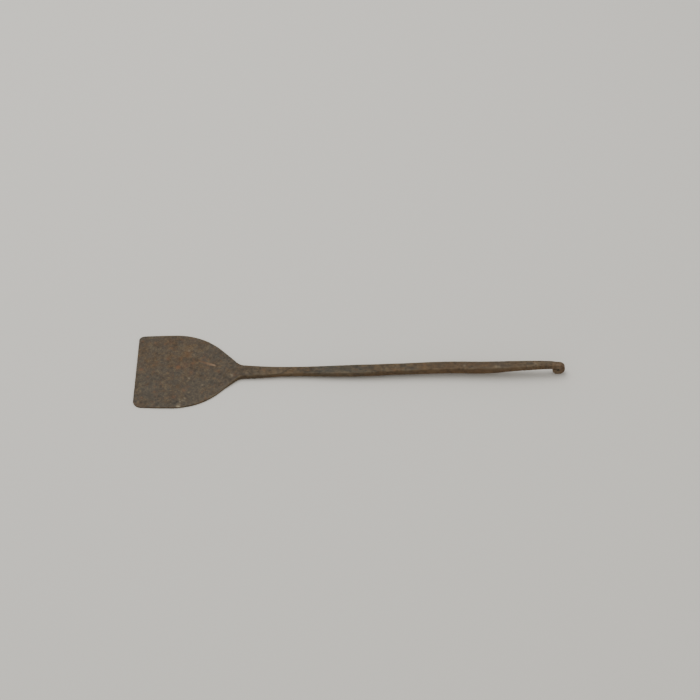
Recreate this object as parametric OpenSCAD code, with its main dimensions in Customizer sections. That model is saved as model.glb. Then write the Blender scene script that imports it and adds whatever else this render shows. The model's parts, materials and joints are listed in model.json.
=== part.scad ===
// Hand-forged iron spatula. The blade is one forging with its flat shank. The handle is a
// bar that is fire-welded to the shank at a long slanting scarf, and its far end is drawn
// down and rolled under into a small eye for hanging.
// It lies as on a table: the blade's underside and the bottom of the roll touch z = 0.
// +X runs from the working edge to the eye and +Z is up. The origin is the bottom centre.

/* [Whole tool] */
// Length from the working edge to the outside of the rolled end
total_l = 440; // [400:1:480]

/* [Blade] */
// Width of the blade at its widest, where the shoulders begin
blade_w = 96.8; // [84:0.2:108]
// How much narrower each side is at the working edge than at the shoulders
side_bulge = 1.2; // [0:0.1:4]
// Distance from the working edge to the start of the rounded shoulders
shoulder_at = 39; // [28:0.2:48]
// Radius of the rounded shoulders
shoulder_r = 67; // [60:1:76]
// Angle of the straight flanks to the tool's length, in degrees
flank_angle = 46; // [40:1:50]
// Radius of the front corner on the +Y side
corner_far_r = 5; // [2:0.5:9]
// Radius of the front corner on the -Y side, worn rounder in use
corner_near_r = 8.5; // [2:0.5:12]
// Thickness at the working edge
edge_t = 1.3; // [0.9:0.1:2]
// Thickness of the blade where the shoulders begin
body_t = 1.8; // [1.2:0.1:3]
// Rounding of the blade's hammered rim
rim_r = 0.4; // [0.1:0.05:0.44]
// Distance from the working edge to where the ridge of the shank first rises
ridge_at = 62; // [46:1:80]
// Half width of that ridge where it dies into the blade
ridge_half = 16; // [8:1:24]

/* [Shank] */
// Width of the shank at its root
neck_w = 14.4; // [11:0.1:18]
// Thickness of the shank at its root
neck_t = 5.6; // [4:0.1:7]
// Radius of the hollow where each flank runs into the shank
neck_r = 12; // [4:1:18]
// Width of the shank at its waist
waist_w = 9.5; // [7:0.1:12]
// Thickness of the shank at its waist
waist_t = 5.3; // [3.5:0.1:7]
// Distance from the working edge to the waist
waist_at = 156; // [140:1:170]

/* [Scarf weld] */
// Distance from the working edge to the tip of the shank's tongue, on the centre of the bar
scarf_at = 155; // [150:1:165]
// Length over which the slanting weld goes through the bar
scarf_l = 27; // [18:1:32]
// Angle between the tongue's edge and the tool's length, in degrees
scarf_skew = 40; // [35:1:90]
// Gap between the two welded faces
weld_gap = 0; // [0:0.05:0.2]

/* [Handle bar] */
// Width of the bar in its first swelling
belly_w = 11.6; // [9:0.1:14]
// Thickness of the bar in its first swelling
belly_t = 6.4; // [5:0.1:8]
// Distance from the working edge to the first swelling
belly_at = 226; // [215:1:235]
// Width of the bar between its two swellings
saddle_w = 10.6; // [8:0.1:13]
// Thickness of the bar between its two swellings
saddle_t = 6.9; // [5:0.1:8]
// Distance between the middle of the first swelling and the saddle
saddle_step = 42; // [30:1:48]
// Width of the bar in its second swelling, where the hand holds it
grip_w = 10.6; // [9:0.1:14]
// Thickness of the bar in its second swelling
grip_t = 7.6; // [5.5:0.1:9]
// Distance from the roll's centre back to the middle of the second swelling
grip_back = 116; // [100:1:124]
// Width of the bar where its taper begins
taper_w = 10; // [8:0.1:12]
// Thickness of the bar where its taper begins, upset a little as the end was drawn down
taper_t = 8.3; // [6:0.1:9.5]
// Distance from the roll's centre back to the start of the taper
taper_back = 70; // [62:1:85]
// Width of the drawn end just past the step where its thickness drops
drawn_w = 9.8; // [6:0.1:11]
// Thickness of the drawn end there
drawn_t = 6.3; // [4:0.1:8]
// Distance from the roll's centre back to that place
drawn_back = 48; // [36:1:54]
// Width of the drawn end where it arches over into the roll
arch_w = 7.7; // [5:0.1:9]
// Thickness of the drawn end there
arch_t = 5.7; // [3.5:0.1:7]
// Distance from the roll's centre back to the crest of the arch
arch_back = 15; // [10:1:24]
// Height of the bar's top at that crest
arch_h = 14.5; // [12.5:0.1:17]
// Rounding of the bar's worn edges
bar_r = 1.1; // [0.3:0.1:1.8]

/* [Line of the bar, seen from above] */
// Distance from the working edge to where the tool begins to wander off its centre line
wander_at = 92; // [70:1:98]
// How far the root of the shank lies off the blade's centre line, towards -Y
neck_off = 2.6; // [0:0.1:5]
// How far the waist lies off it
waist_off = 3.2; // [0:0.1:6]
// How far the first swelling lies off it
belly_off = 3.2; // [0:0.1:6]
// How far the second swelling lies off it
grip_off = 0.8; // [-3:0.1:5]
// How far the bar lies off it where the taper begins
taper_off = 1.5; // [-3:0.1:5]
// How far the roll lies off it
roll_off = 0.2; // [-3:0.1:3]

/* [Rolled eye] */
// Outside diameter of the roll
roll_d = 13.4; // [11:0.1:15]
// Width of the drawn end that is rolled
roll_w = 6.4; // [4.5:0.1:9]
// Diameter of the eye
eye_d = 2.4; // [1.8:0.1:4]
// Rounding of the eye's mouth
mouth_r = 0.4; // [0.1:0.1:0.8]
// How much the tip is drawn thinner than the rest of the roll
tip_draw = 0.4; // [0:0.1:1]
// Gap between the tip and the underside of the bar
tip_gap = 0.3; // [0.2:0.05:0.8]

/* [Hidden] */

front_x = -total_l / 2;
roll_r = roll_d / 2;
roll_x = total_l / 2 - roll_r;
// The rolled band is a little too thick, and the drill that trues the eye takes this off
bore_trim = 0.05;
band_in = eye_d / 2 - bore_trim;
end_t = roll_r - band_in;

// Blade outline, as distances s from the working edge
flank_s = shoulder_at + shoulder_r * sin(flank_angle);
flank_half = blade_w / 2 - shoulder_r * (1 - cos(flank_angle));
meet_s = flank_s + (flank_half - neck_w / 2) / tan(flank_angle);
fillet_run = neck_r * tan(flank_angle / 2);
hollow_s = meet_s - fillet_run * cos(flank_angle);
neck_s = meet_s + fillet_run;
neck_x = front_x + neck_s;

function clamp01(t) = min(1, max(0, t));
function ease(t) = let(u = clamp01(t)) u * u * (3 - 2 * u);

// Drop of a quarter circle of radius r at distance d before its tangent point
function round_off(r, d) = d <= 0 || r <= 0 ? 0 : r - sqrt(max(0, r * r - min(d, r) * min(d, r)));

// Half width of the plate, without its front corners
function plate_half(s) =
    s < shoulder_at ? blade_w / 2 - side_bulge * pow(1 - s / shoulder_at, 2)
    : s < flank_s ? blade_w / 2 - round_off(shoulder_r, s - shoulder_at)
    : s < hollow_s ? flank_half - (s - flank_s) * tan(flank_angle)
    : neck_w / 2 + round_off(neck_r, neck_s - s);

// Smooth curve through rows of [x, value, ...], read from column c
function row_at(rows, x, i = 0) =
    i >= len(rows) - 2 || x < rows[i + 1][0] ? i : row_at(rows, x, i + 1);
function rise(rows, i, c) =
    let(a = rows[max(i - 1, 0)], b = rows[min(i + 1, len(rows) - 1)])
    (b[c] - a[c]) / (b[0] - a[0]);
function flow(rows, x, c) =
    let(i = row_at(rows, x), p = rows[i], q = rows[i + 1], h = q[0] - p[0],
        t = clamp01((x - p[0]) / h))
    p[c] + (q[c] - p[c]) * t * t * (3 - 2 * t)
    + h * t * (1 - t) * (rise(rows, i, c) * (1 - t) - rise(rows, i + 1, c) * t);

// The smith's stations along the shank and bar: x, width, thickness
bar_rows = [
    [neck_x, neck_w, neck_t],
    [front_x + waist_at, waist_w, waist_t],
    [front_x + belly_at, belly_w, belly_t],
    [front_x + belly_at + saddle_step, saddle_w, saddle_t],
    [roll_x - grip_back, grip_w, grip_t],
    [roll_x - taper_back, taper_w, taper_t],
    [roll_x - drawn_back, drawn_w, drawn_t],
    [roll_x - arch_back, arch_w, arch_t],
    [roll_x, roll_w, end_t]
];
// Where the bar's middle runs, seen from above: x, y
path_rows = [
    [front_x + wander_at, 0],
    [neck_x, -neck_off],
    [front_x + waist_at, -waist_off],
    [front_x + belly_at, -belly_off],
    [roll_x - grip_back, -grip_off],
    [roll_x - taper_back, -taper_off],
    [roll_x, -roll_off]
];
// Height of the shank's and bar's top: x, z. It climbs in a straight line from the flat
// blade to the arch, and from there it goes down over the roll
top_rows = [
    [neck_x, neck_t],
    [roll_x - arch_back, arch_h],
    [roll_x, roll_d]
];

function bar_w_at(x) = flow(bar_rows, x, 1);
function bar_t_at(x) = flow(bar_rows, x, 2);
function path_y(x) = x < path_rows[0][0] ? 0 : flow(path_rows, x, 1);
function top_z(x) = flow(top_rows, x, 1);

// A quarter turn of an edge rounding: three points, corner at [y, z], turned by quadrant
function edge_arc(y, z, r, quadrant) =
    [for (k = [0 : 2]) let(a = 90 * quadrant + 45 * k) [y + r * cos(a), z + r * sin(a)]];

// A rounded four-sided section [y, z] from yn to yf and zb to zt, with the points of a
// crown laid along its top
function section(yn, yf, zb, zt, r_top, r_bot, crown = []) = concat(
    edge_arc(yf - r_top, zt - r_top, r_top, 0),
    crown,
    edge_arc(yn + r_top, zt - r_top, r_top, 1),
    edge_arc(yn + r_bot, zb + r_bot, r_bot, 2),
    edge_arc(yf - r_bot, zb + r_bot, r_bot, 3)
);

// Height of the crown above the rim at a share v of the ridge's half width
function bell(v) = 1 - ease(abs(v));

// The crown's points run across the ridge in even steps, from its +Y foot to its -Y foot.
// The ridge stays within this share of the section's flat top
crown_n = 3;
crown_shares = [for (k = [crown_n : -1 : -crown_n]) k / crown_n];
crown_most = 0.9;

// One section of the blade and shank at distance s from the working edge
function blade_section(s) =
    let(x = front_x + s, y = path_y(x), on_plate = s < neck_s,
        half = on_plate ? plate_half(s) : bar_w_at(x) / 2,
        t_plain = edge_t + (body_t - edge_t) * clamp01(s / shoulder_at),
        t_rim = t_plain + (neck_t - t_plain) * ease((s - flank_s) / (neck_s - flank_s)),
        t_crest = t_plain + (neck_t - t_plain) * ease((s - ridge_at) / (neck_s - ridge_at)),
        worn = round_off(rim_r, rim_r - s),
        r = rim_r + (bar_r - rim_r) * ease((s - flank_s) / (neck_s - flank_s)),
        r_now = r - worn,
        zb = on_plate ? worn : top_z(x) - bar_t_at(x),
        zt = on_plate ? t_rim - worn : top_z(x),
        crest = on_plate ? t_crest - t_rim : 0,
        yn = y - half + round_off(corner_near_r, corner_near_r - s),
        yf = y + half - round_off(corner_far_r, corner_far_r - s),
        ridge = min(ridge_half, crown_most * (half - r)),
        crown = [for (v = crown_shares) [y + v * ridge, zt + crest * bell(v)]])
    [for (p = section(yn, yf, zb, zt, r_now, r_now, crown)) [x, p[0], p[1]]];

// One section of the bar at x
function bar_section(x) =
    let(w = bar_w_at(x), y = path_y(x), z = top_z(x),
        r_bot = bar_r + (mouth_r - bar_r) * ease(1 - (roll_x - x) / arch_back))
    [for (p = section(y - w / 2, y + w / 2, z - bar_t_at(x), z, bar_r, r_bot)) [x, p[0], p[1]]];

// One section of the roll, square to the band's path at the given angle round the eye. The
// tip's section is raised by lift, straight up towards the bar, and closes in on the eye
function roll_section(angle, lift = 0) =
    let(out_r = roll_r - tip_draw * clamp01((-90 - angle) / 90),
        in_r = sqrt(band_in * band_in - lift * lift), mid = (out_r + in_r) / 2, t = out_r - in_r,
        flat = section(-roll_w / 2, roll_w / 2, -t / 2, t / 2, bar_r, mouth_r))
    [for (p = flat) [roll_x + (mid + p[1]) * cos(angle), p[0] - roll_off,
                     roll_r + (mid + p[1]) * sin(angle) + lift]];

// A closed solid over a row of sections with the same number of points
module loft(rings) {
    n = len(rings[0]);
    last = (len(rings) - 1) * n;
    polyhedron(
        points = [for (ring = rings) each ring],
        faces = concat(
            [[for (i = [n - 1 : -1 : 0]) i]],
            [for (j = [0 : n : last - n]) for (i = [0 : n - 1]) let(k = (i + 1) % n)
                each [[j + i, j + k, j + n + k], [j + i, j + n + k, j + n + i]]],
            [[for (i = [0 : n - 1]) last + i]]
        )
    );
}

// Heights of the scarf: it falls from the top of the bar at the tongue's tip to the
// underside, and slants across the bar by the skew
scarf_x = front_x + scarf_at;
scarf_top = top_z(scarf_x);
scarf_slope = waist_t / scarf_l;
scarf_fall = scarf_skew >= 90 ? 0 : scarf_slope / tan(scarf_skew);
// Sections stand this far apart along the lap, and reach a little past both its ends
lap_step = 4;
lap_half = waist_w / 2 / tan(scarf_skew);
lap_from = scarf_x - scarf_l - lap_half - 2 * lap_step;
lap_to = scarf_x + lap_half + lap_step;

// Everything under the scarf plane, lowered by drop
module under_scarf(drop) {
    block_l = total_l;
    block_w = 4 * blade_w;
    multmatrix([
        [1, 0, 0, scarf_x],
        [0, 1, 0, path_y(scarf_x)],
        [scarf_slope, -scarf_fall, 1, scarf_top - drop],
        [0, 0, 0, 1]
    ])
        translate([lap_from - scarf_x, -block_w / 2, -total_l])
            cube([block_l, block_w, total_l]);
}

// Sections closer together where the form turns, and at the same places on both sides of
// the weld, so that the two pieces share one skin there
lap_s = [for (x = [lap_from : lap_step : lap_to + lap_step]) x - front_x];
function spread(from, to, n) = [for (k = [1 : n]) from + (to - from) * k / n];
corner_big_r = max(corner_far_r, corner_near_r);
blade_s = concat(
    [0, rim_r / 4],
    [for (a = spread(0, 90, 6)) corner_big_r * (1 - cos(a))],
    spread(corner_big_r, shoulder_at, 3),
    [for (a = spread(0, flank_angle, 9)) shoulder_at + shoulder_r * sin(a)],
    spread(flank_s, hollow_s, 3),
    [for (a = spread(flank_angle, 0, 5)) neck_s - neck_r * sin(a)],
    spread(neck_s, lap_s[0] - lap_step, 2),
    lap_s
);
// The plain bar's sections stand at most this far apart
bar_step = 9;
bar_from = lap_to + lap_step;
bar_x = concat(
    [for (s = lap_s) front_x + s],
    spread(bar_from, roll_x, ceil((roll_x - bar_from) / bar_step))
);
// The roll has a section every so many degrees, and its tip ends under the bar
roll_step = 15;
tip_lift = band_in - tip_gap;

module blade() color("#584e44")
    difference() {
        loft([for (s = blade_s) blade_section(s)]);
        under_scarf(0);
    }

module handle() color("#5f5349")
    difference() {
        intersection() {
            loft(concat(
                [for (x = bar_x) bar_section(x)],
                [for (a = [90 - roll_step : -roll_step : -180]) roll_section(a)],
                [roll_section(-180, tip_lift)]
            ));
            under_scarf(weld_gap);
        }
        translate([roll_x, -roll_off, roll_r]) rotate([90, 0, 0])
            cylinder(h = 2 * roll_w, r = eye_d / 2, center = true, $fn = 48);
    }

blade();
handle();
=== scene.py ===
# %% [markdown]
# # A hand-forged iron spatula
#
# The real tool is two pieces of wrought iron. A smith spread one bar into a flat blade and
# left a shank behind it. A second bar was fire-welded to that shank with a long slanting
# lap, which smiths call a scarf. Its far end was drawn down and rolled into a small eye for
# hanging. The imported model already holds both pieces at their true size. This lesson keeps
# those sizes and forges a finer skin over them, with hammer blows, pits, worn edges and a
# thin brown rust.

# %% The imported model
import json
import math

import bmesh
import bpy
import numpy as np
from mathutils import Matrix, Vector, kdtree, noise


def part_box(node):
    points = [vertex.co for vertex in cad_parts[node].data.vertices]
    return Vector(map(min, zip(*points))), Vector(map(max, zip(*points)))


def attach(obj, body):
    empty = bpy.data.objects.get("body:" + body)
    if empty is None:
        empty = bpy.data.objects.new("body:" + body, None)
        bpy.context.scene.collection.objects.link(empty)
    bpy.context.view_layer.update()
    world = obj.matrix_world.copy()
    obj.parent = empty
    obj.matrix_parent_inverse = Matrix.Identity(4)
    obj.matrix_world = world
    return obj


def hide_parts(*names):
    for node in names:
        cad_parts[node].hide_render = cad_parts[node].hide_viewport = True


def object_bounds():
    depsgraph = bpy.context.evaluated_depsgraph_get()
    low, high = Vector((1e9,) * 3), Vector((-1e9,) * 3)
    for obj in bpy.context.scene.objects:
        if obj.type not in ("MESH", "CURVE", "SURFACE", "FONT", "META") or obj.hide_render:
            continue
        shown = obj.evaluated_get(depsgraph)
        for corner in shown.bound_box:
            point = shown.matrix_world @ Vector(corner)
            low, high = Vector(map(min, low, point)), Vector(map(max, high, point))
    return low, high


MM = 0.001

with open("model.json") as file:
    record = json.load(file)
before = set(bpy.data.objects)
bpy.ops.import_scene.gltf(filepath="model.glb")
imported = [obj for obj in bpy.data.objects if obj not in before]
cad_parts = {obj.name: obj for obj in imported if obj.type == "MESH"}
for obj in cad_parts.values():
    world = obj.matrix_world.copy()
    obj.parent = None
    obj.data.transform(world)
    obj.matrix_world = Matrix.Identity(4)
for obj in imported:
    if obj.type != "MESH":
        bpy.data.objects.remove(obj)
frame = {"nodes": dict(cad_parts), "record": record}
cad_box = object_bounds()
cad_low, cad_high = (np.array(corner) for corner in cad_box)
print("The whole tool measures", np.round((cad_high - cad_low) / MM, 1), "mm")

# %% [markdown]
# ## The camera
#
# The photograph looks down on the tool from the front, with a long lens, so it shows hardly
# any perspective. The rolled end is round and shows as an oval, which gives the camera's
# height angle. The length of the tool in the picture gives the distance. A camera could
# also be aimed by a constraint, but one angle and one distance are easier to check.

# %% The camera at the photograph's angle
HEIGHT_ANGLE = math.radians(49)
DISTANCE = 1.818
LOOKED_AT = Vector((-0.0002, 0.0299, 0.0))
LENS_MM = 90
SENSOR_MM = 36

lens = bpy.data.cameras.new("photo_camera")
lens.lens = LENS_MM
lens.sensor_width = SENSOR_MM
camera = bpy.data.objects.new("photo_camera", lens)
towards_camera = Vector((0, -math.cos(HEIGHT_ANGLE), math.sin(HEIGHT_ANGLE)))
camera.location = LOOKED_AT + DISTANCE * towards_camera
camera.rotation_euler = (math.pi / 2 - HEIGHT_ANGLE, 0, 0)
bpy.context.scene.collection.objects.link(camera)
bpy.context.scene.camera = camera
print("The camera stands at", np.round(camera.location, 3), "m")

# %% [markdown]
# ## Colours and nodes
#
# Colours are given as sRGB hex values, as any paint program shows them. Blender
# mixes light in linear values, so one function turns the one into the other. A second small
# function adds a node with its settings and its links, so that a material reads as a list
# of steps.

# %% Colour and node helpers
def tint(hex_value):
    """An sRGB hex value as linear red, green, blue and alpha."""
    parts = [int(hex_value[i:i + 2], 16) / 255 for i in (1, 3, 5)]
    # The curve is the one that the sRGB standard gives
    return (*(c / 12.92 if c < 0.04045 else ((c + 0.055) / 1.055) ** 2.4 for c in parts), 1)


def add(tree, kind, sockets=None, **settings):
    """Adds a node with its settings, and gives each named socket a value or a link."""
    node = tree.nodes.new("ShaderNode" + kind)
    for name, value in settings.items():
        setattr(node, name, value)
    for name, value in (sockets or {}).items():
        if isinstance(value, bpy.types.NodeSocket):
            tree.links.new(value, node.inputs[name])
        else:
            node.inputs[name].default_value = value
    return node


print("The sRGB grey #808080 is", round(tint("#808080")[0], 3), "in linear light")

# %% [markdown]
# ## The floor and the light
#
# The tool lies on a plain pale floor, which shows its outline and its shadow clearly. A
# curved backdrop would hide the horizon, but this camera looks down too steeply to see one,
# so a large flat plane will do.

# %% The floor
FLOOR_SIZE = 8.0

bpy.ops.mesh.primitive_plane_add(size=FLOOR_SIZE)
floor = bpy.context.object
floor.name = "pale_floor"
paint = bpy.data.materials.new("matt_floor_paint")
paint.use_nodes = True
paint_shader = paint.node_tree.nodes["Principled BSDF"]
paint_shader.inputs["Base Color"].default_value = tint("#D9D6CF")
paint_shader.inputs["Roughness"].default_value = 0.9
floor.data.materials.append(paint)
print("The floor is", FLOOR_SIZE, "m wide, in matt paint")

# %% [markdown]
# In the photograph soft daylight comes from above and a little behind the tool. Upper faces
# are therefore lighter than front faces, and the only shadow is a thin soft one on the
# camera's side. A picture of a real room could light the tool, but one large area light and
# pale surroundings do the same and are easier to adjust.

# %% Daylight and surroundings
DAYLIGHT_PLACE = Vector((-0.5, 0.7, 1.9))
DAYLIGHT_SIZE = 1.6
DAYLIGHT_POWER = 27
ROOM_LIGHT = 0.8

window = bpy.data.lights.new("daylight_above", "AREA")
window.size = DAYLIGHT_SIZE
window.energy = DAYLIGHT_POWER
daylight = bpy.data.objects.new("daylight_above", window)
daylight.location = DAYLIGHT_PLACE
daylight.rotation_euler = DAYLIGHT_PLACE.to_track_quat("Z", "Y").to_euler()
bpy.context.scene.collection.objects.link(daylight)

surroundings = bpy.data.worlds.new("pale_room")
surroundings.use_nodes = True
room = surroundings.node_tree.nodes["Background"]
room.inputs["Color"].default_value = tint("#F2F1EE")
room.inputs["Strength"].default_value = ROOM_LIGHT
bpy.context.scene.world = surroundings
print("One window light of", DAYLIGHT_POWER, "W in a pale room")

# %% [markdown]
# ## Wrought iron under a thin rust
#
# Wrought iron that has hung in a kitchen for a century is neither bright metal nor loose
# rust. A thin hard oxide covers it, brown-black, matt and hardly metallic. Its colours lie
# close together, so it looks like one dark brown from across the room and like a patchwork
# from near by. A photograph could be wrapped round it, but noise has no seams and fits any
# shape. Six patterns of noise do the work here, each with the size of its blobs in
# millimetres.

# %% Patterns in the iron
# Seed, size in millimetres, detail, roughness, and whether the pattern follows the fibres
PATTERNS = {
    # Broad clouds of brown oxide, and the finer mottling that breaks them up
    "clouds": (39.1, 30, 2, 0.5, False),
    "mottle": (1.7, 4, 4, 0.75, True),
    # Blue-grey scale, where the last heat left the surface cleanest
    "scale": (15, 14, 3, 0.5, False),
    # Real grain is half as wide, and is drawn coarser so that it shows from a step away
    "grain": (11.3, 1.7, 6, 0.75, True),
    # Sparse freckles of orange rust
    "freckle": (7.9, 2.6, 3, 0.6, False),
    # Real tooth is a few tenths of a millimetre, and its first layer is drawn coarser to show
    "tooth": (2.2, 1.2, 6, 0.7, True),
}


def blob(size_mm):
    """The noise scale that gives blobs about size_mm across."""
    # Each wave of the noise is two blobs, a light one and a dark one
    return 1 / (2 * size_mm * MM)


print(len(PATTERNS), "patterns, with blobs of", [row[1] for row in PATTERNS.values()], "mm")

# %% [markdown]
# Each layer of colour shows where its pattern is strong. The layers go from large to small:
# brown oxide over grey forge scale, blue-grey scale, a fine dark and pale grain, and
# freckles of orange rust. Noise knows nothing of the shape, so the mesh below passes on
# five kinds of place as vertex attributes: where it is rubbed, where it is hollow, where
# rust blooms, where it is sheltered and where pale specks lie. Three of them also carry
# painted light and shade: the hollow mark paints shade on every side that faces away from
# the sky, and the rubbed and pale marks paint light on the roll, inside the eye and in two
# glints on the bar.

# %% Layers of colour
MARKS = ("rubbed_and_painted_light", "hollow", "bloom", "sheltered", "dust_and_painted_light")
BLUE_SCALE = "#413F38"
DARK_GRAIN = "#2C251D"
PALE_GRAIN = "#78674C"
ORANGE_RUST = "#6E4A2D"
# Worn iron, also used for painted light on the roll and in two glints on the bar
RUBBED_IRON_AND_LIGHT = "#6E614C"
# Dark oxide in the pits and the weld seam, also used as painted shade on the sides
DARK_OXIDE_AND_SHADE = "#241B13"
# Pale specks, also used as painted light inside the eye and on the roll's side
PALE_DUST_AND_LIGHT = "#B3A68C"
CLOUD_SHARE = 0.6
SHELTER_SHARE = 0.3
BROWN_FROM, BROWN_TO = 0.85, 1.15
BROWN_SHIFT = 0.25


def layered_colour(tree, noises, marks, grey, brown, browning, blueing):
    """Links the layers up. Returns the sockets of the colour and of how brown it is."""
    # Brown oxide is thicker on the sides, which no hand or cloth rubs
    both = add(tree, "Math", {0: noises["clouds"], 1: CLOUD_SHARE, 2: noises["mottle"]},
               operation="MULTIPLY_ADD")
    spread = add(tree, "Math", {0: marks["sheltered"], 1: SHELTER_SHARE, 2: both.outputs[0]},
                 operation="MULTIPLY_ADD")
    browned = add(tree, "MapRange", {"Value": spread.outputs[0],
                                     "From Min": BROWN_FROM - BROWN_SHIFT * browning,
                                     "From Max": BROWN_TO - BROWN_SHIFT * browning})

    # Each of these starts at one level of its noise and has its full strength at another
    seen = {}
    for layer, pattern, start, full, strength in (("blued", "scale", 0.48, 0.68, blueing),
                                                  ("darkened", "grain", 0.5, 0.3, 0.75),
                                                  ("paled", "grain", 0.5, 0.7, 0.65),
                                                  ("rusted", "freckle", 0.56, 0.8, 0.6)):
        level = add(tree, "MapRange", {"Value": noises[pattern], "From Min": start,
                                       "From Max": full, "To Max": strength})
        seen[layer] = level.outputs[0]
    rust = add(tree, "Math", {0: seen["rusted"], 1: marks["bloom"]}, operation="MAXIMUM")

    # A Mix of colours takes them at its sockets 6 and 7, and gives the result at 2
    colour = tint(grey)
    for shown, hex_value in ((browned.outputs[0], brown), (seen["blued"], BLUE_SCALE),
                             (seen["darkened"], DARK_GRAIN), (seen["paled"], PALE_GRAIN),
                             (rust.outputs[0], ORANGE_RUST), (marks["rubbed_and_painted_light"], RUBBED_IRON_AND_LIGHT),
                             (marks["hollow"], DARK_OXIDE_AND_SHADE), (marks["dust_and_painted_light"], PALE_DUST_AND_LIGHT)):
        mix = add(tree, "Mix", {0: shown, 6: colour, 7: tint(hex_value)}, data_type="RGBA")
        colour = mix.outputs[2]
    return colour, browned.outputs[0]


print(len(MARKS), "marks from the mesh join", len(PATTERNS), "patterns of noise")

# %% [markdown]
# The same patterns drive the finish. Brown oxide is dead matt, while scale keeps a faint
# sheen of metal, and the tooth is a bump far too fine for the mesh. Both pieces are one
# metal with the same history, so one function makes both materials. The bar is browner and
# bluer than the blade, and it was drawn out, which stretches the slag in the iron.

# %% Wrought iron for both pieces
SCALE_ROUGHNESS, OXIDE_ROUGHNESS = 0.74, 0.9
SCALE_METALLIC, OXIDE_METALLIC = 0.2, 0.0
TOOTH_DEPTH = 0.8 * MM


def wrought_iron(name, grey, brown, browning, blueing, drawn):
    """Old wrought iron. browning and blueing, from 0 to 1, say how far each tint spreads.

    drawn is how many times longer than wide its fibres are.
    """
    iron = bpy.data.materials.new(name)
    iron.use_nodes = True
    tree = iron.node_tree
    shader = tree.nodes["Principled BSDF"]
    place = add(tree, "TexCoord").outputs["Object"]
    fibres = add(tree, "Mapping", {"Vector": place, "Scale": (1 / drawn, 1, 1)}).outputs[0]
    noises = {}
    for pattern, (seed, size_mm, detail, roughness, fibrous) in PATTERNS.items():
        field = add(tree, "TexNoise", {"Vector": fibres if fibrous else place, "W": seed,
                                       "Scale": blob(size_mm), "Detail": detail,
                                       "Roughness": roughness}, noise_dimensions="4D")
        noises[pattern] = field.outputs["Fac"]
    marks = {}
    for mark_name in MARKS:
        marks[mark_name] = add(tree, "Attribute", attribute_name=mark_name).outputs["Fac"]

    colour, browned = layered_colour(tree, noises, marks, grey, brown, browning, blueing)
    tree.links.new(colour, shader.inputs["Base Color"])
    for socket, scale, oxide in (("Roughness", SCALE_ROUGHNESS, OXIDE_ROUGHNESS),
                                 ("Metallic", SCALE_METALLIC, OXIDE_METALLIC)):
        level = add(tree, "MapRange", {"Value": browned, "To Min": scale, "To Max": oxide})
        tree.links.new(level.outputs[0], shader.inputs[socket])
    bump = add(tree, "Bump", {"Height": noises["tooth"], "Strength": 1,
                              "Distance": TOOTH_DEPTH})
    tree.links.new(bump.outputs["Normal"], shader.inputs["Normal"])
    print("Material", name, "has", len(tree.nodes), "nodes")
    return iron


blade_iron = wrought_iron("wrought_iron_blade", grey="#4A4236", brown="#54412A",
                          browning=0.5, blueing=0.3, drawn=1)
bar_iron = wrought_iron("wrought_iron_bar", grey="#463E2F", brown="#5F4A30",
                        browning=0.5, blueing=0.5, drawn=2)

# %% [markdown]
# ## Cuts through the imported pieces
#
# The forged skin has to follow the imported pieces, whatever size they are. Each ring of the
# new skin therefore starts as a cut: a plane across the tool at one place along it, and the
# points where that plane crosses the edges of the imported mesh. The alternative is to repeat
# the part's own formulas here, and then two files would have to agree.

# %% Cuts across the tool
def packed_edges(node):
    """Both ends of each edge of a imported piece, as an array of edges by 2 by x, y, z."""
    mesh = frame["nodes"][node].data
    places = np.empty(3 * len(mesh.vertices))
    mesh.vertices.foreach_get("co", places)
    ends = np.empty(2 * len(mesh.edges), dtype=np.int32)
    mesh.edges.foreach_get("vertices", ends)
    return places.reshape(-1, 3)[ends.reshape(-1, 2)]


forging = np.concatenate([packed_edges("blade"), packed_edges("handle")])


def cut(x):
    """The points y, z where the plane across the tool at x crosses its skin."""
    start, end = forging[:, 0], forging[:, 1]
    crossing = (start[:, 0] - x) * (end[:, 0] - x) < 0
    start, end = start[crossing], end[crossing]
    share = (x - start[:, :1]) / (end[:, :1] - start[:, :1])
    return (start + (end - start) * share)[:, 1:]


print("The packed pieces have", len(forging), "edges to cut")

# %% [markdown]
# ## Rings
#
# Blade, shank and bar all have the same kind of section: a flat bottom, a top, two sides
# and four rounded edges. One function makes such a ring of points, and a second one marks
# the points of the edges, because wear shows there. Every ring of a piece has as many
# points as the next, so that the rings join into clean four-sided faces.

# %% A ring round the iron
EDGE_TURN = np.radians([0, 30, 60, 90])


def places_across(left, right, radius, count):
    """Even places across a section from left to right, between its rounded edges."""
    return left + radius + (right - left - 2 * radius) * np.linspace(0, 1, count)


def quarter(y, z, radius, quadrant):
    """The rounding of one edge. Quadrant 0 lies between +Y and +Z."""
    turn = EDGE_TURN + quadrant * math.pi / 2
    return np.column_stack([y + radius * np.cos(turn), z + radius * np.sin(turn)])


def ring(across, top, bottom, radius, bottom_radius, side_points):
    """A closed ring y, z. across runs from -Y to +Y, and top has a height for each."""
    low = bottom + bottom_radius
    right = across[-1] + radius
    left = across[0] - radius
    share = np.linspace(0, 1, side_points + 2)[1:-1, None]
    # In order round the ring: lower right, upper right, upper left and lower left
    corners = [quarter(right - bottom_radius, low, bottom_radius, 3),
               quarter(across[-1], top[-1] - radius, radius, 0),
               quarter(across[0], top[0] - radius, radius, 1),
               quarter(left + bottom_radius, low, bottom_radius, 2)]
    sides = [corners[i][-1] + (corners[i + 1][0] - corners[i][-1]) * share for i in (0, 2)]
    underside = np.linspace(corners[3][-1], corners[0][0], len(across))[1:-1]
    upper_side = np.column_stack([across, top])[-2:0:-1]
    return np.concatenate([underside, corners[0], sides[0], corners[1],
                           upper_side, corners[2], sides[1], corners[3]])


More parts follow.
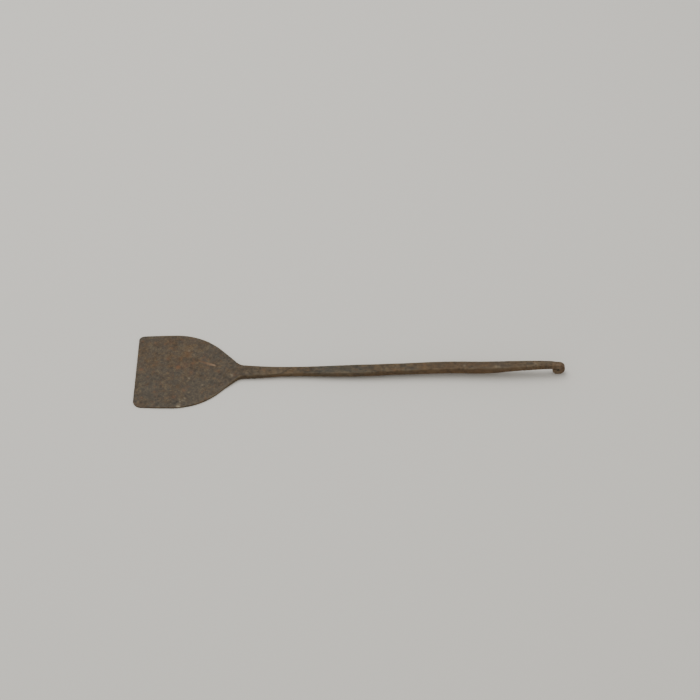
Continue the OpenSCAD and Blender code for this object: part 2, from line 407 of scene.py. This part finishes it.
def edge_marks(across_points, side_points):
    """1 on the points of a ring that lie on its rounded edges, and 0 elsewhere."""
    flat = np.zeros(across_points - 2)
    side = np.zeros(side_points)
    edge = np.ones(len(EDGE_TURN))
    return np.concatenate([flat, edge, side, edge, flat, edge, side, edge])


print("Each edge is rounded over", len(EDGE_TURN), "points")

# %% [markdown]
# A row of rings becomes a mesh when each point is joined to its neighbour and to the same
# point of the next ring. Blender's own loft tools would do it too, but this way the order
# of the points is known, and marks can be written on them.

# %% A skin over a row of rings
def skin(name, rings, rubbed_and_painted_light, material):
    """A closed mesh over a row of rings. rubbed says how worn each point of a ring is."""
    count = len(rings[0])
    last = (len(rings) - 1) * count
    here = np.arange(count)
    beside = (here + 1) % count
    # One face closes each end, and four-sided faces join each ring to the next
    faces = [list(range(count - 1, -1, -1)), list(range(last, last + count))]
    for start in range(0, last, count):
        ahead = start + count
        faces += np.column_stack([start + here, start + beside,
                                  ahead + beside, ahead + here]).tolist()
    mesh = bpy.data.meshes.new(name)
    mesh.from_pydata(np.concatenate(rings).tolist(), [], faces)
    for mark_name in MARKS:
        mesh.attributes.new(mark_name, "FLOAT", "POINT")
    mesh.materials.append(material)
    piece = bpy.data.objects.new(name, mesh)
    bpy.context.scene.collection.objects.link(piece)
    mark(piece, "rubbed_and_painted_light", np.tile(rubbed_and_painted_light, len(rings)))
    print(name, "has", len(rings), "rings of", count, "points")
    return piece


def mark(piece, name, values):
    """Writes one of a piece's vertex attributes."""
    piece.data.attributes[name].data.foreach_set("value", np.clip(values, 0, 1))


def marks_of(piece, name):
    """Reads one of a piece's vertex attributes."""
    values = np.empty(len(piece.data.vertices))
    piece.data.attributes[name].data.foreach_get("value", values)
    return values


lap_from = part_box("handle")[0].x
lap_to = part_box("blade")[1].x
print("Shank and bar lap over", round((lap_to - lap_from) / MM, 1), "mm")

# %% [markdown]
# ## The blade and its shank
#
# The blade was beaten out flat until it was under two millimetres thick, and a low ridge
# leads from it into the shank. Rings stand close together round the front corners and at
# an even step from there on. A flat outline given a thickness would be quicker, but the
# ridge and the rounded edges need a true section at every place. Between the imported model's
# own sections its surface is flat, so the heights are smoothed a little.

# %% Blade rings
RING_STEP = 0.8 * MM
# Each skin runs on this far past the lap, where it is cut to fit later
LAP_SPARE = 3 * MM
# A cut exactly at an end of the tool finds nothing, so it is made a hair further in
HAIR = 0.01 * MM
FRONT_CORNER = 8.5 * MM
CORNER_TURN = np.radians(np.arange(0, 91, 7.5))
# How many points a ring has across its top, and up each side
BLADE_ACROSS = 104
BLADE_SIDE = 1
SMOOTHING_PASSES = 6
# The points of a cut that lie this near to its side belong to its rim
RIM_BAND = 0.05 * MM
RIM_ROUND = 0.42 * MM
BAR_ROUND = 1.1 * MM
HEIGHTS = (0, 2 * MM, 5 * MM)
ROUNDS = (0.3 * RIM_ROUND, RIM_ROUND, BAR_ROUND)


def edge_round(height):
    """Rounding of the edges where the iron has this height: the thin rim has little."""
    return float(np.interp(height, HEIGHTS, ROUNDS))


def softened(heights, passes):
    """Heights by ring and by place across, each drawn towards its four neighbours."""
    for _ in range(passes):
        beside = heights[1:-1, :-2] + heights[1:-1, 2:]
        along = heights[:-2, 1:-1] + heights[2:, 1:-1]
        heights[1:-1, 1:-1] = heights[1:-1, 1:-1] / 2 + (beside + along) / 8
    return heights


def top_profile(points, across):
    """Heights of the top of a cut, read at each place across."""
    rim = points[points[:, 0] < points[:, 0].min() + RIM_BAND]
    # The middle height of the rim parts the top of the cut from its flat underside
    upper = points[points[:, 1] > rim[:, 1].mean()]
    upper = upper[np.argsort(upper[:, 0])]
    return np.interp(across, upper[:, 0], upper[:, 1])


def blade_rings():
    """The rings of the blade and shank, to a little past the end of the lap."""
    corner = FRONT_CORNER * (1 - np.cos(CORNER_TURN))
    corner[0] = HAIR
    length = lap_to + LAP_SPARE - cad_low[0]
    beyond = np.arange(FRONT_CORNER + RING_STEP, length, RING_STEP)
    rows, tops = [], []
    for x in cad_low[0] + np.append(corner, beyond):
        points = cut(x)
        (left, bottom), (right, highest) = points.min(axis=0), points.max(axis=0)
        radius = edge_round(highest - bottom)
        across = places_across(left, right, radius, BLADE_ACROSS)
        rows.append((x, across, bottom, radius))
        # In the lap a cut also meets the bar, so the shank's top is taken as flat there
        flat_top = np.full(BLADE_ACROSS, highest)
        tops.append(top_profile(points, across) if x < lap_from else flat_top)
    tops = np.array(tops)
    tops[len(corner):] = softened(tops[len(corner):], SMOOTHING_PASSES)
    rings = []
    for (x, across, bottom, radius), top in zip(rows, tops):
        points = ring(across, top, bottom, radius, radius, BLADE_SIDE)
        rings.append(np.column_stack([np.full(len(points), x), points]))
    return rings


blade = skin("blade_forging", blade_rings(), edge_marks(BLADE_ACROSS, BLADE_SIDE), blade_iron)

# %% [markdown]
# ## The bar and its rolled eye
#
# The handle is one bar. It is thick along most of its length, with rounded edges, and its
# last few centimetres are drawn down, arched and rolled under until the tip almost touches
# the bar again. A curve with a bevel would sweep one section along it, but this bar swells
# and thins as it goes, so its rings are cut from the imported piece, as the blade's are. The
# eye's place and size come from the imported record, because that is where a nail has to fit.

# %% Rings along the bar
# The bar is narrow and thick, so its rings have fewer points across and more up each side
BAR_ACROSS = 12
BAR_SIDE = 5
EYE_MOUTH = 0.4 * MM

hanging_eye = next(m for m in frame["record"]["mounts"] if m["name"] == "hanging_eye")
eye_x, _, eye_z = hanging_eye["pos_m"]
eye_radius = hanging_eye["dims"]["r_mm"] * MM
roll_radius = cad_high[0] - eye_x


def bar_section(across, top, bottom, radius, bottom_radius):
    """A ring of the bar, whose top is flat."""
    return ring(across, np.full(BAR_ACROSS, top), bottom, radius, bottom_radius, BAR_SIDE)


def bar_rings():
    """The rings along the bar, from a little before the lap to over the eye."""
    length = eye_x - lap_from + LAP_SPARE
    roll_from = eye_x - roll_radius - MM
    rings = []
    for x in np.linspace(lap_from - LAP_SPARE, eye_x, round(length / RING_STEP)):
        points = cut(min(x, eye_x - HAIR))
        (left, bottom), (right, highest) = points.min(axis=0), points.max(axis=0)
        # Past roll_from a cut also meets the roll, so from there the underside is drawn
        # straight to the top of the eye
        if x < roll_from:
            last_bottom = bottom
        else:
            share = (x - roll_from) / (eye_x - roll_from)
            bottom = last_bottom + (eye_z + eye_radius - last_bottom) * share
        radius = edge_round(highest - bottom)
        # Towards the eye the lower edges sharpen, because there they become its mouth
        mouth = np.interp(x, [eye_x - 2 * roll_radius, eye_x], [radius, EYE_MOUTH])
        across = places_across(left, right, radius, BAR_ACROSS)
        section = bar_section(across, highest, bottom, radius, mouth)
        rings.append(np.column_stack([np.full(len(section), x), section]))
    return rings


print("The eye is", round(2 * eye_radius / MM, 2), "mm wide in a roll of",
      round(2 * roll_radius / MM, 2), "mm")

# %% [markdown]
# Beyond the middle of the eye a cut across the tool meets the iron twice. So from the top
# of the eye the rings no longer stand across the tool. They turn with the iron instead, a
# few degrees at a time, grow a little thinner over the last quarter turn, and then rise
# straight to the tip, which the last ring rounds off.

# %% Rings round the eye
# Degrees round the eye, with 0 at the end of the tool. Rings turn by ROLL_STEP at a time
ROLL_STEP = 6
EYE_TOP, EYE_BOTTOM, TIP_ANGLE = 90, -90, -180
TIP_THINNER = 0.4 * MM
# The tip closes with rings that are raised by these shares of the eye's radius
TIP_LIFTS = (0.25, 0.5, 0.72)
TIP_ROUND = 0.15 * MM
TIP_SHRINK = 0.7
# The width of the roll is read at this share of its radius beyond the eye
WIDTH_READ_AT = 0.7


def turned(section, angle, lift=0.0):
    """A ring y, distance from the eye, stood at an angle round the eye and raised by lift."""
    reach = section[:, 1]
    turn = math.radians(angle)
    return np.column_stack([eye_x + reach * math.cos(turn), section[:, 0],
                            eye_z + reach * math.sin(turn) + lift])


def roll_rings():
    """The rings round the eye, from its top to the tip, and those that close the tip."""
    beyond = cut(eye_x + WIDTH_READ_AT * roll_radius)
    radius = edge_round(roll_radius - eye_radius)
    across = places_across(beyond[:, 0].min(), beyond[:, 0].max(), radius, BAR_ACROSS)
    rings = []
    for angle in range(EYE_TOP - ROLL_STEP, TIP_ANGLE - 1, -ROLL_STEP):
        last_quarter = max(0, (EYE_BOTTOM - angle) / (EYE_BOTTOM - TIP_ANGLE))
        outer = roll_radius - TIP_THINNER * last_quarter
        section = bar_section(across, outer, eye_radius, radius, EYE_MOUTH)
        rings.append(turned(section, angle))
    for share in TIP_LIFTS:
        lift = share * eye_radius
        inner = math.sqrt(eye_radius ** 2 - lift ** 2)
        section = bar_section(across, outer, inner, radius, EYE_MOUTH)
        rings.append(turned(section, TIP_ANGLE, lift))
    middle = section.mean(axis=0)
    rings.append(turned(middle + TIP_SHRINK * (section - middle), TIP_ANGLE, lift + TIP_ROUND))
    return rings


handle = skin("handle_forging", bar_rings() + roll_rings(), edge_marks(BAR_ACROSS, BAR_SIDE),
              bar_iron)

# %% [markdown]
# ## Hammer and rust
#
# A forged surface is a patchwork of shallow dishes, one for each blow, with low borders
# between them. They could be drawn as a bump map, but the outline and the highlights would
# stay perfect, so here the points of the mesh are moved along their normals.

# %% Hammer blows
# As shares of the distance between blows: how far one strays, and how far its dish reaches
STRAY = 0.35
DISH_RADIUS = 0.8
WEAKEST_BLOW = 0.5
# A normal counts from this much along an axis, and fully from FACING_RANGE more
FACING_FROM, FACING_RANGE = 0.6, 0.3


def places_and_normals(piece):
    """The points of a piece and their normals, as two arrays."""
    mesh = piece.data
    places, normals = (np.empty(3 * len(mesh.vertices)) for _ in range(2))
    mesh.vertices.foreach_get("co", places)
    mesh.vertex_normals.foreach_get("vector", normals)
    return places.reshape(-1, 3), normals.reshape(-1, 3)


def facing(normals, axis, sign):
    """How squarely each point looks along an axis: 0 from 53 degrees off it, 1 below 26."""
    return np.clip((sign * normals[:, axis] - FACING_FROM) / FACING_RANGE, 0, 1)


def tree_of(points):
    """A search tree of points, which finds the ones near a place quickly."""
    tree = kdtree.KDTree(len(points))
    for index, point in enumerate(points):
        tree.insert(point, index)
    tree.balance()
    return tree


def blows(u, v, pitch, depth, seed):
    """How deep the nearest hammer blow has gone at each place u, v of one face."""
    draw = np.random.default_rng(seed)
    columns = np.arange(u.min(), u.max() + pitch, pitch)
    rows = np.arange(v.min() + pitch / 2, max(v.max(), v.min() + pitch), pitch)
    middles = np.array([(a, b) for a in columns for b in rows])
    middles += draw.uniform(-STRAY, STRAY, middles.shape) * pitch
    deepest = draw.uniform(WEAKEST_BLOW, 1.0, len(middles)) * depth
    near = tree_of([(a, b, 0) for a, b in middles])
    found = [near.find((a, b, 0)) for a, b in zip(u, v)]
    away = np.array([hit[2] for hit in found]) / (DISH_RADIUS * pitch)
    which = np.array([hit[1] for hit in found])
    return deepest[which] * np.clip(1 - away ** 2, 0, 1)


print("A dish reaches", DISH_RADIUS, "of the way to the next blow")

# %% [markdown]
# Rust eats small pits into old iron. They lie in clusters, because damp starts new ones
# beside the old, and most of them are small. They could be sculpted by hand, but there are
# hundreds, so their places are drawn at random, and more often where a slow noise is high.

# %% Rust pits
PIT_DEPTH = 0.14 * MM
WIDEST_PIT = 3.4 * MM
CLUSTER_MM = 30
CLUSTER_LIFT = 0.35
FEWEST_PITS = 0.05
# Sizes are squared, so that small pits are common and large ones rare
SMALLEST_PIT = 0.35
LEAST_REACH, LEAST_BITE = 0.6, 0.4
SAME_SIDE = 0.3


def drift(places, size_mm, seed):
    """Smooth noise from -1 to 1 with waves about size_mm long."""
    shift = Vector((seed, -2 * seed, 3 * seed))
    return np.array([noise.noise(Vector(p) / (size_mm * MM) + shift) for p in places])


def rust_pits(places, normals, count, seed):
    """How deep rust has eaten at each point. Pits crowd where a slow noise is high."""
    draw = np.random.default_rng(seed)
    near = tree_of(places)
    crowding = np.clip(drift(places, CLUSTER_MM, seed) + CLUSTER_LIFT, FEWEST_PITS, 1)
    middles = draw.choice(len(places), count, p=crowding / crowding.sum())
    eaten = np.zeros(len(places))
    for middle, size in zip(middles, draw.uniform(SMALLEST_PIT, 1, count) ** 2):
        reach = (LEAST_REACH + (1 - LEAST_REACH) * size) * WIDEST_PIT / 2
        deepest = (LEAST_BITE + (1 - LEAST_BITE) * size) * PIT_DEPTH
        for _, index, away in near.find_range(places[middle], reach):
            # A pit near an edge doesn't reach round it
            if normals[index] @ normals[middle] > SAME_SIDE:
                eaten[index] = max(eaten[index], deepest * (1 - (away / reach) ** 2))
    return eaten


print("Pits are up to", round(WIDEST_PIT / MM, 1), "mm wide and",
      round(PIT_DEPTH / MM, 2), "mm deep")

# %% [markdown]
# The blade was planished, which means evened out with light, wide blows, and the bar was
# squared up with heavier ones. Each point is first raised a little, and then the wave, the
# blows and the pits take away about as much, so that the tool keeps its size. What would
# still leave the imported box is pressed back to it.

# %% Forging both pieces
PROUD = 0.25 * MM
# In radii of the roll from the middle of the eye: where raising and striking begin
PROUD_FROM, STRUCK_FROM = 0.7, 1
WAVE = 0.16 * MM
WAVE_MM = 14
PATCH_MM = 9
PATCH_SEED = 5
EDGE_WEAR = 0.5
PIT_DARKNESS = 0.5
# Painted shade: every side that faces away from the sky is darkened a little
PAINTED_SIDE_SHADE = 0.12
# The four sides that a hammer strikes: axis, which way it faces, and the axis across it
SIDES = ((2, 1, 1), (2, -1, 1), (1, 1, 2), (1, -1, 2))


def forge(piece, pitch, depth, pits, seed):
    """Hammers and rusts a piece, and marks its hollows, worn edges and painted side shade."""
    places, normals = places_and_normals(piece)
    # Near the eye nothing is raised or struck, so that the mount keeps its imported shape
    from_eye = np.hypot(places[:, 0] - eye_x, places[:, 2] - eye_z) / roll_radius
    proud = PROUD * np.clip(from_eye - PROUD_FROM, 0, 1)
    sunk = WAVE * (0.5 + 0.5 * drift(places, WAVE_MM, seed))
    struck = np.clip(from_eye - STRUCK_FROM, 0, 1)
    for number, (axis, sign, other) in enumerate(SIDES):
        dish = blows(places[:, 0], places[:, other], pitch, depth, seed + number)
        sunk += struck * facing(normals, axis, sign) * dish
    eaten = rust_pits(places, normals, pits, seed)
    moved = places + normals * (proud - sunk - eaten)[:, None]
    moved = np.clip(moved, cad_low, cad_high)
    piece.data.vertices.foreach_set("co", moved.ravel())
    sheltered = 1 - facing(normals, 2, 1)
    mark(piece, "sheltered", sheltered)
    # The hollow mark also gets painted shade on the sides that face away from the sky
    mark(piece, "hollow", PIT_DARKNESS * eaten / PIT_DEPTH + PAINTED_SIDE_SHADE * sheltered)
    patchy = np.clip(0.5 + drift(places, PATCH_MM, seed + PATCH_SEED), 0, 1)
    mark(piece, "rubbed_and_painted_light", marks_of(piece, "rubbed_and_painted_light") * patchy * EDGE_WEAR)
    piece.data.update()
    print(piece.name, "moves by up to", round(np.abs(proud - sunk - eaten).max() / MM, 2), "mm")


forge(blade, pitch=13 * MM, depth=0.12 * MM, pits=900, seed=3)
forge(handle, pitch=11 * MM, depth=0.16 * MM, pits=700, seed=11)

# %% [markdown]
# The working edge has been pushed along pans for years, and that has left small nicks. A
# boolean could cut them out one by one, but the points of the edge lie close enough
# together to be moved back a little instead.

# %% Nicks in the working edge
NICKS = 14
NICK_DEPTH = 0.4 * MM
NICK_WIDTH = 1.6 * MM
# A nick bends the iron behind it too, up to this far from the edge
NICK_REACH = 4 * NICK_DEPTH
SMALLEST_NICK = 0.3


def nick_front_edge(piece, seed):
    """Small notches along the working edge, each a millimetre or two wide."""
    draw = np.random.default_rng(seed)
    places, _ = places_and_normals(piece)
    reach = np.clip(1 - (places[:, 0] - cad_low[0]) / NICK_REACH, 0, 1)
    for middle in draw.uniform(cad_low[1] + FRONT_CORNER, cad_high[1] - FRONT_CORNER, NICKS):
        size = draw.uniform(SMALLEST_NICK, 1)
        notch = np.exp(-((places[:, 1] - middle) / (size * NICK_WIDTH)) ** 2)
        places[:, 0] += size * NICK_DEPTH * notch * reach
    piece.data.vertices.foreach_set("co", places.ravel())
    print("The front edge has", NICKS, "nicks")


nick_front_edge(blade, seed=5)

# %% [markdown]
# ## The marks of this one spatula
#
# Noise gives a surface that any old iron could have. A few marks belong to this tool alone,
# so they are listed one by one: blooms of orange rust where drops have dried, spots that
# have been rubbed pale, pale specks, and a shallow crease that the hammer folded and rust
# has filled. Some of the pale spots and specks are painted light instead: on the roll, whose
# side faces away from the daylight, and two glints on the bar. Each row gives x, y and
# width in millimetres, and a strength.

# %% Where the marks are
BLADE_BLOOMS = ((-177, 5, 5, 0.8), (-170, 7, 9, 0.3), (-162, 10, 4, 0.5), (-189, 16, 4, 0.4),
                (-215, 2, 4, 0.6), (-163, -2, 5, 0.4), (-169, -26, 4, 0.5), (-199, -28, 3, 0.5),
                (-179, -35, 4, 0.5), (-135, -2, 4, 0.4), (-187, 39, 6, 0.3), (-168, 24, 7, 0.3))
BLADE_RUBBED = ((-121, -9, 3, 1), (-165, -10, 2, 0.9), (-151, -19, 2, 0.8), (-167, 27, 2, 0.9),
                (-162, 22, 2, 0.8), (-192, -15, 2, 0.8), (-191, 16, 2, 0.6), (-205, 30, 3, 0.5),
                (-173, -38, 2, 1), (-168, -36, 2, 0.9), (-164, -29, 2, 0.8), (-174, -46, 3, 1),
                (-85, -4, 60, 0.15))
# Small pale specks on the blade, the brightest on its near rim
BLADE_PALE_SPECKS = ((-121, -8, 3, 0.2), (-165, -10, 2, 0.15), (-151, -19, 2, 0.12),
              (-167, 27, 2, 0.15), (-173, -48, 3, 1), (-172, -41, 2, 0.2), (-170, -39, 2, 0.2),
              (-168, -40, 2, 0.15), (-167, -37, 2, 0.2), (-185, -16, 2, 0.1))
HANDLE_BLOOMS = ((130, -1, 110, 0.16), (214, -4, 14, 0.8))
# The spots at x 212 and 213 paint light on the roll, those at x 149 and 152 paint glints
HANDLE_RUBBED_AND_LIGHT = ((117, -2, 3, 0.5), (149, -4, 3, 0.4), (152, -4, 2, 0.6), (176, -3, 2, 0.6),
                 (188, -1, 4, 0.6), (193, 0, 4, 0.5), (212, 0, 18, 0.4), (213, -5, 10, 0.65))
# The specks at x 149 and 152 are painted glints, the one at x 213 paints light on the roll
HANDLE_DUST_AND_LIGHT = ((117, -2, 2, 0.1), (149, -4, 2, 0.15), (152, -4, 2, 0.15), (181, -4, 2, 0.15),
               (190, -1, 3, 0.1), (213, -6, 8, 0.1))
CREASE = ((-155, 13), (-140, 7))

print(len(BLADE_BLOOMS), "blooms,", len(BLADE_RUBBED), "rubbed spots and",
      len(BLADE_PALE_SPECKS), "specks on the blade")

# %% [markdown]
# Real marks have ragged edges, and a round spot looks painted from near by. So the distance
# from the middle of each mark is stretched and squeezed by a fine noise before it counts.

# %% Ragged marks
RAGGED = 0.6
RAGGED_MM = 2
RAGGED_SEED = 21


def stretch(places):
    """How much the distance from a mark is stretched at each point."""
    return 1 + RAGGED * drift(places, RAGGED_MM, RAGGED_SEED)


def nearness(away, width, stretched):
    """1 where away is 0, falling to nothing at a ragged edge about half of width away."""
    return np.exp(-(2 * away / width * stretched) ** 2)


def spots(places, rows, stretched):
    """How strongly each point shows the nearest of the marks x, y, width, strength."""
    shown = np.zeros(len(places))
    for x, y, width, strength in rows:
        away = np.hypot(places[:, 0] - x * MM, places[:, 1] - y * MM)
        shown = np.maximum(shown, strength * nearness(away, width * MM, stretched))
    return shown


def along(places, start, end, width):
    """How near each point is to a straight line, from 1 on it to 0, and its share of it."""
    start, end = (np.array(point) * MM for point in (start, end))
    line = end - start
    share = np.clip((places[:, :2] - start) @ line / (line @ line), 0, 1)
    away = np.linalg.norm(places[:, :2] - start - share[:, None] * line, axis=1)
    return nearness(away, width, stretch(places)), share


print("A mark's edge strays by up to", round(100 * RAGGED), "per cent")

# %% [markdown]
# The blade's marks lie on its upper face alone, and those of the bar run on down its sides.
# They could be painted on an image, but that needs the surface unwrapped. Here the points
# of the mesh are less than a millimetre apart, so vertex attributes are fine enough.

# %% Marks on both pieces
CREASE_WIDTH = 2.3 * MM
CREASE_DEPTH = 0.15 * MM
CREASE_RUST = 0.4
CREASE_DUST = 0.3
EYE_PAINTED_LIGHT = 0.35
# Painted light brightens the inside of the eye, which would be in deep shade, and fades out
# over this share of its radius beyond its wall
EYE_PAINTED_LIGHT_FADE = 1 / 3


def mark_blade():
    """Dents the crease, and writes the marks on the upper face of the blade."""
    places, normals = places_and_normals(blade)
    upward = facing(normals, 2, 1)
    crease, share = along(places, *CREASE, CREASE_WIDTH)
    places[:, 2] -= CREASE_DEPTH * upward * crease
    blade.data.vertices.foreach_set("co", places.ravel())
    stretched = stretch(places)
    rust = crease * (CREASE_RUST + (1 - CREASE_RUST) * share)
    bloomed = np.maximum(spots(places, BLADE_BLOOMS, stretched), rust)
    pale_marks = np.maximum(spots(places, BLADE_PALE_SPECKS, stretched), CREASE_DUST * crease * share ** 2)
    rubbed_and_painted_light = upward * spots(places, BLADE_RUBBED, stretched)
    mark(blade, "bloom", upward * bloomed)
    mark(blade, "dust_and_painted_light", upward * pale_marks)
    mark(blade, "rubbed_and_painted_light", np.maximum(marks_of(blade, "rubbed_and_painted_light"), rubbed_and_painted_light))


def mark_handle():
    """Writes the marks on the bar, and the painted light inside the eye."""
    places, _ = places_and_normals(handle)
    stretched = stretch(places)
    from_eye = np.hypot(places[:, 0] - eye_x, places[:, 2] - eye_z)
    beyond_wall = from_eye / eye_radius - 1
    # Pale colour painted inside the eye stands in for light that reaches it
    eye_painted_light = EYE_PAINTED_LIGHT * np.clip(1 - beyond_wall / EYE_PAINTED_LIGHT_FADE, 0, 1)
    rubbed_and_painted_light = spots(places, HANDLE_RUBBED_AND_LIGHT, stretched)
    mark(handle, "bloom", spots(places, HANDLE_BLOOMS, stretched))
    mark(handle, "dust_and_painted_light", np.maximum(eye_painted_light, spots(places, HANDLE_DUST_AND_LIGHT, stretched)))
    mark(handle, "rubbed_and_painted_light", np.maximum(marks_of(handle, "rubbed_and_painted_light"), rubbed_and_painted_light))


mark_blade()
mark_handle()
print("The crease is", round(CREASE_DEPTH / MM, 2), "mm deep")

# %% [markdown]
# ## The scarf weld
#
# Shank and bar lap each other on a slanting plane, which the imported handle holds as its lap
# face. The two ends could be shaped one by one, but then they would have to be matched. So
# both skins run right through the lap, and each is cut at that plane, which leaves two
# pieces that meet face to face. The weld shows as a fine dark line across the top, where
# the tongue of the shank ends.

# %% Cutting the scarf
SEAM_WIDTH = 0.9 * MM
SEAM_DARKNESS = 0.45
# Where the skin lies nearly along the plane, the seam would spread far without this
LEAST_SLANT = 0.2
LAP_BACK, LAP_UP = -0.15, 0.9
SHARP_EDGE = math.radians(50)


def lap_plane():
    """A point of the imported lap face, and the way that it faces: up and to the blade."""
    faces = [f for f in frame["nodes"]["handle"].data.polygons
             if f.normal.x < LAP_BACK and f.normal.z > LAP_UP and f.center.x < lap_to]
    widest = max(faces, key=lambda f: f.area)
    return widest.center.copy(), widest.normal.copy()


def scarf(piece, keep):
    """Cuts a piece at the lap plane. keep is 1 for what lies over it and -1 for the rest."""
    point, upward = lap_plane()
    places, normals = places_and_normals(piece)
    height = (places - np.array(point)) @ np.array(upward)
    slant = np.sqrt(1 - np.clip(normals @ np.array(upward), -1, 1) ** 2)
    along_skin = np.abs(height) / np.maximum(slant, LEAST_SLANT)
    in_lap = (places[:, 0] > lap_from - MM) & (places[:, 0] < lap_to + MM)
    seam = np.exp(-(along_skin / SEAM_WIDTH) ** 2) * in_lap
    mark(piece, "hollow", np.maximum(marks_of(piece, "hollow"), SEAM_DARKNESS * seam))
    shape = bmesh.new()
    shape.from_mesh(piece.data)
    everything = shape.verts[:] + shape.edges[:] + shape.faces[:]
    bmesh.ops.bisect_plane(shape, geom=everything, plane_co=point, plane_no=upward,
                           clear_inner=keep > 0, clear_outer=keep < 0)
    rim = [edge for edge in shape.edges if edge.is_boundary]
    bmesh.ops.holes_fill(shape, edges=rim)
    shape.to_mesh(piece.data)
    shape.free()
    piece.data.shade_smooth()
    piece.data.set_sharp_from_angle(angle=SHARP_EDGE)
    print(piece.name, "has", len(piece.data.polygons), "faces, and", len(rim), "round its lap")


scarf(blade, 1)
scarf(handle, -1)

# %% [markdown]
# ## Putting the pieces in place
#
# Nothing on this tool moves, so both pieces ride on the one body. Each stands for its own
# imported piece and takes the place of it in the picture.

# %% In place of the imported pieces
for piece, node, finish in ((blade, "blade", "blade_iron"), (handle, "handle", "bar_iron")):
    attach(piece, "root")
    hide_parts(node)
